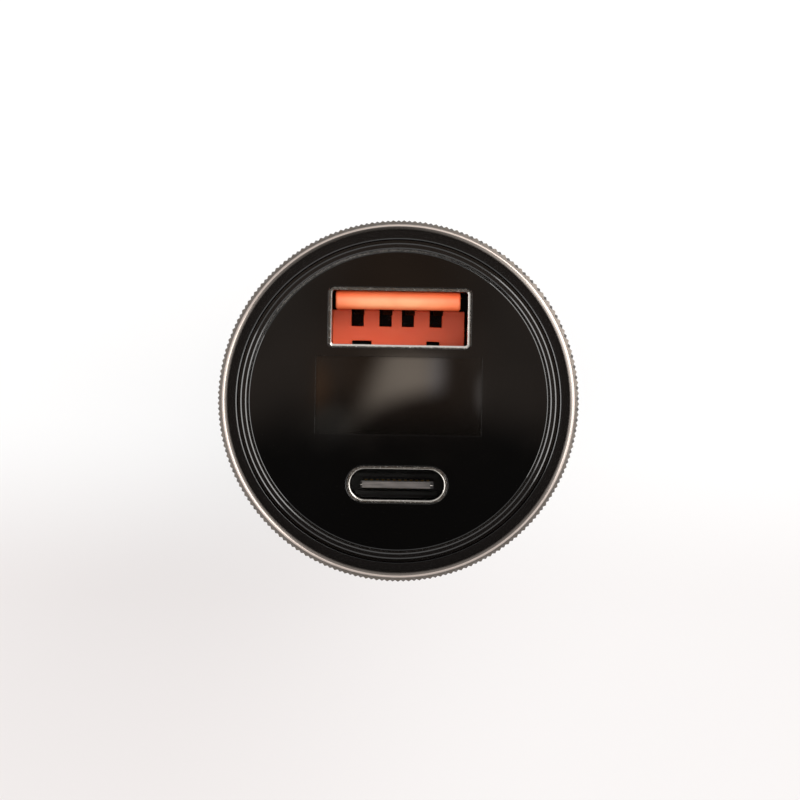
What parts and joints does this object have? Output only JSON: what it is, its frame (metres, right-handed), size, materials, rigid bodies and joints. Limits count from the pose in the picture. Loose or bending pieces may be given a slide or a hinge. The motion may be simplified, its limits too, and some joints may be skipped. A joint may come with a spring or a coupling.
{
  "type": "car usb charger plug",
  "caption": "Round car charger plug with a knurled metal head, a black face with a display window, a USB-A port and a USB-C port, a barrel with sprung side contacts and a sprung tip.",
  "frame": {"origin": "on the plug's axis, in the plane of the head's shoulder, where it meets the rim of the socket", "axes": "+Z along the axis, out of the face; -Z points to the nose; +Y runs from the axis to the USB-A port; +X is to the right when the face is seen with the USB-A port on top"},
  "size_m": [0.032, 0.032, 0.0638],
  "materials": {
    "sleeve_metal": "gunmetal anodised, fine satin",
    "grip_metal": "turned and knurled, warm light anodised",
    "bezel_plastic": "fine spark-eroded black",
    "cover_plastic": "satin black moulding",
    "plate_acrylic": "gloss black sheet",
    "window_acrylic": "smoked gloss sheet",
    "display_plastic": "moulded grey",
    "segment_resin": "milky diffusing resin",
    "tin": "tinned, dull",
    "port_steel": "rolled, nickel plated",
    "orange_plastic": "moulded orange, slight sheen",
    "tongue_plastic": "moulded black",
    "gilt": "thin gilt on spring bronze",
    "board_laminate": "green solder mask",
    "ferrite": "pressed powder",
    "can_metal": "drawn can",
    "chip_resin": "moulded epoxy",
    "fuse_ceramic": "white ceramic body",
    "capacitor_ceramic": "fired tan body",
    "barrel_plastic": "moulded black, fine texture",
    "nose_plastic": "moulded black",
    "nickel": "bright nickel plate",
    "spring_steel": "drawn wire"
  },
  "bodies": {
    "charger": {"head_shell": "sleeve_metal", "trim_ring": "grip_metal", "bezel_ring": "bezel_plastic", "front_cover": "cover_plastic", "face_plate": "plate_acrylic", "display_window": "window_acrylic", "display_body": "display_plastic", "display_segments": "segment_resin", "display_pins": "tin", "usb_a_shell": "port_steel", "usb_a_insulator": "orange_plastic", "usb_c_shell": "port_steel", "usb_c_insulator": "tongue_plastic", "usb_c_midplate": "port_steel", "usb_c_contacts_upper": "gilt", "usb_c_contacts_lower": "gilt", "front_board": "board_laminate", "main_board": "board_laminate", "power_inductor": "ferrite", "input_capacitor": "can_metal", "output_capacitor": "can_metal", "converter_chip": "chip_resin", "port_controller": "chip_resin", "power_transistors": "chip_resin", "board_fuse": "fuse_ceramic", "ceramic_capacitors": "capacitor_ceramic", "plug_barrel": "barrel_plastic", "ground_tab_left": "gilt", "ground_tab_right": "gilt", "nose_cap": "nose_plastic", "terminal_plate": "tin", "usb_a_contact_1": "gilt", "usb_a_contact_2": "gilt", "usb_a_contact_3": "gilt", "usb_a_contact_4": "gilt"},
    "centre_contact": {"centre_contact": "nickel", "contact_spring": "spring_steel"},
    "side_contact_left": {"ground_contact_left": "nickel"},
    "side_contact_right": {"ground_contact_right": "nickel"}
  },
  "joints": [
    {"name": "tip_press", "type": "slide", "parent": "charger", "child": "centre_contact", "axis": [0, 0, 1], "range_m": [0, 0.0022], "stiffness_N_per_m": 1500, "springref_m": -0.0015, "deforming": ["contact_spring"]},
    {"name": "side_press_left", "type": "hinge", "parent": "charger", "child": "side_contact_left", "pos_m": [-0.0091, 0, -0.03], "axis": [0, 1, 0], "range_deg": [0, 7], "stiffness_Nm_per_rad": 1, "springref_deg": -1.15},
    {"name": "side_press_right", "type": "hinge", "parent": "charger", "child": "side_contact_right", "pos_m": [0.0091, 0, -0.03], "axis": [0, -1, 0], "range_deg": [0, 7], "stiffness_Nm_per_rad": 1, "springref_deg": -1.15}
  ]
}
